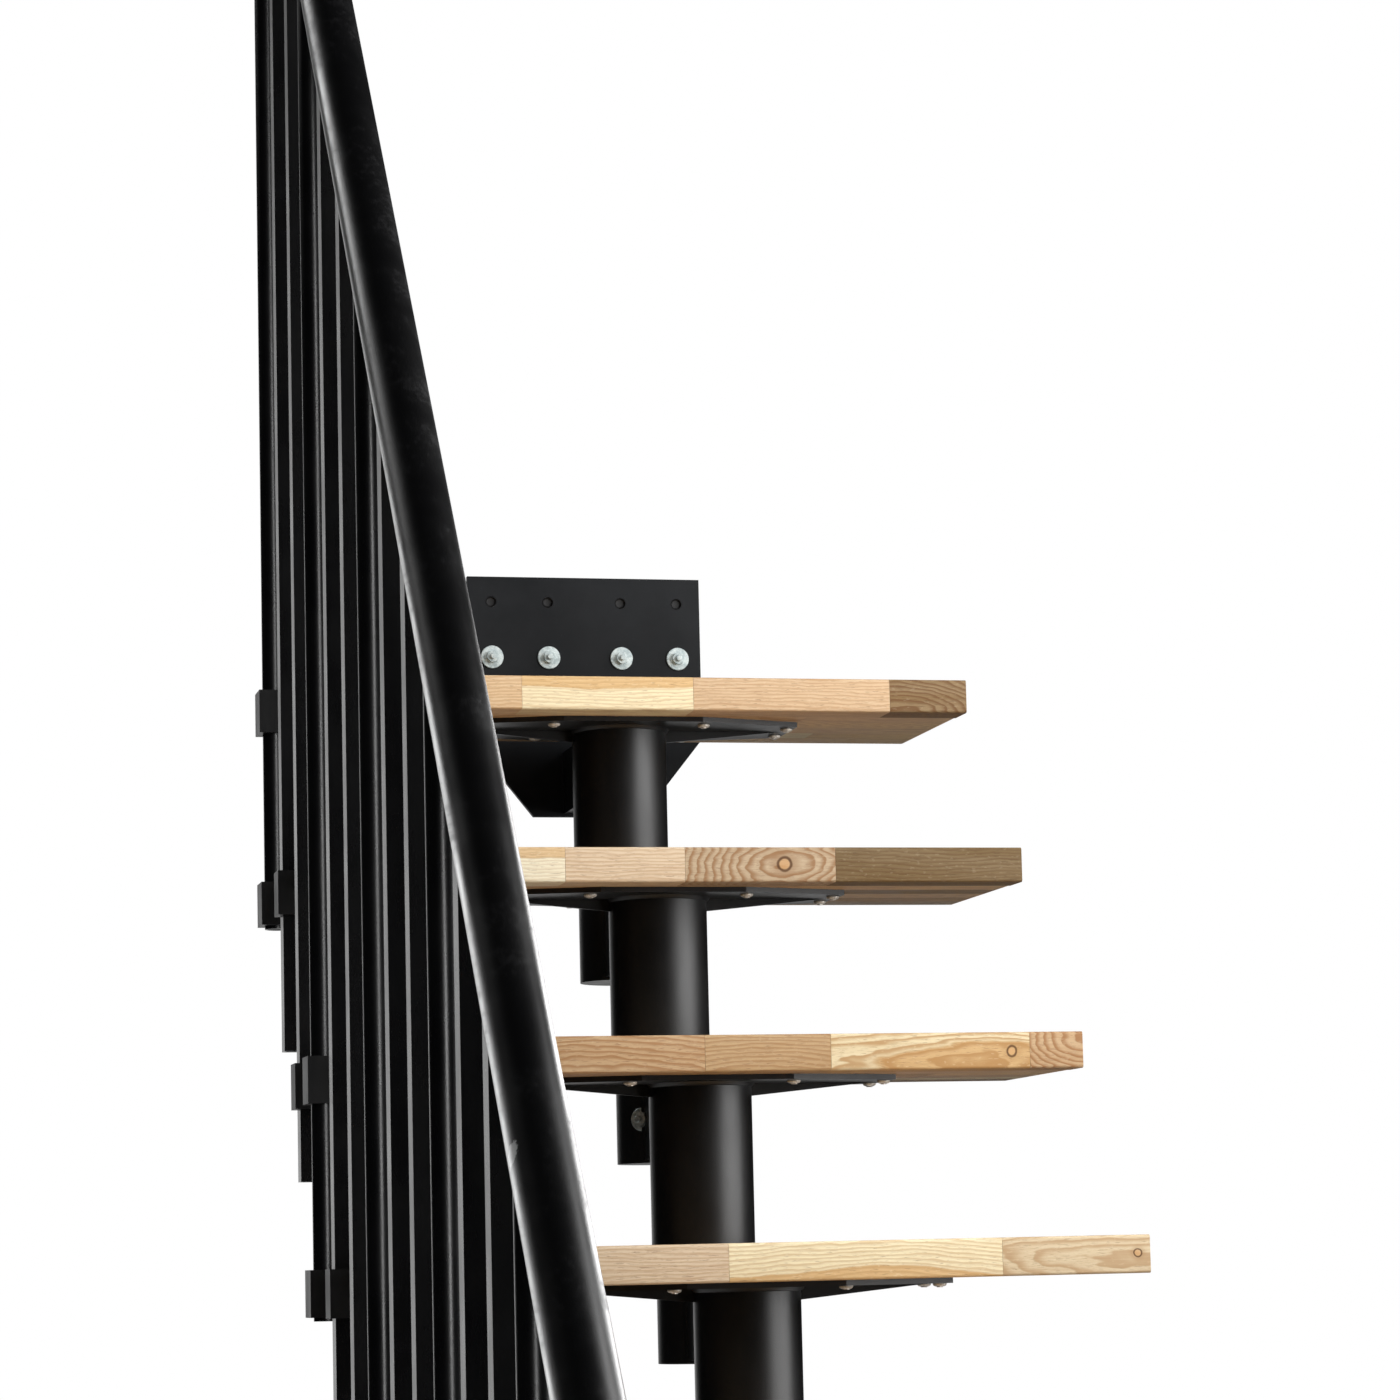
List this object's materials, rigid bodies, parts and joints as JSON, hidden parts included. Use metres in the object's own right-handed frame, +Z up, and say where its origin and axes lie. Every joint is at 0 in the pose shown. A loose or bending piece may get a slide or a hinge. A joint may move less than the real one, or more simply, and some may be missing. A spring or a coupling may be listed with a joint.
{
  "type": "modular spine staircase",
  "caption": "Straight open-riser stair: oak treads on stacked black steel tube modules, bolted to floor and wall, with a railing on one side.",
  "frame": {"origin": "centre of the floor plate's underside, on the axis of the lowest tube", "axes": "+Z up, +Y along the flight in the climbing direction, railing on the -X side"},
  "size_m": [0.875, 2.4788, 3.8971],
  "materials": {
    "oak": "oiled edge-glued oak staves",
    "coated_steel": "satin black powder coat",
    "coated_plate": "satin black powder coat",
    "coated_rail": "satin black powder coat",
    "rail_cap": "matt black plastic",
    "zinc": "zinc plated screws, bolts and washers"
  },
  "bodies": {
    "root": {"floor_plate": "coated_plate", "wall_plate": "coated_plate", "module_01": "coated_steel", "module_02": "coated_steel", "module_03": "coated_steel", "module_04": "coated_steel", "module_05": "coated_steel", "module_06": "coated_steel", "module_07": "coated_steel", "module_08": "coated_steel", "module_09": "coated_steel", "module_10": "coated_steel", "module_11": "coated_steel", "tread_01": "oak", "tread_02": "oak", "tread_03": "oak", "tread_04": "oak", "tread_05": "oak", "tread_06": "oak", "tread_07": "oak", "tread_08": "oak", "tread_09": "oak", "tread_10": "oak", "tread_11": "oak", "post_1": "coated_rail", "post_2": "coated_rail", "post_3": "coated_rail", "post_4": "coated_rail", "post_5": "coated_rail", "post_6": "coated_rail", "post_foot": "coated_rail", "baluster_pair_1": "coated_rail", "baluster_pair_2": "coated_rail", "baluster_pair_3": "coated_rail", "baluster_pair_4": "coated_rail", "baluster_pair_5": "coated_rail", "baluster_clips": "coated_rail", "handrail": "coated_rail", "handrail_caps": "rail_cap"}
  },
  "joints": []
}
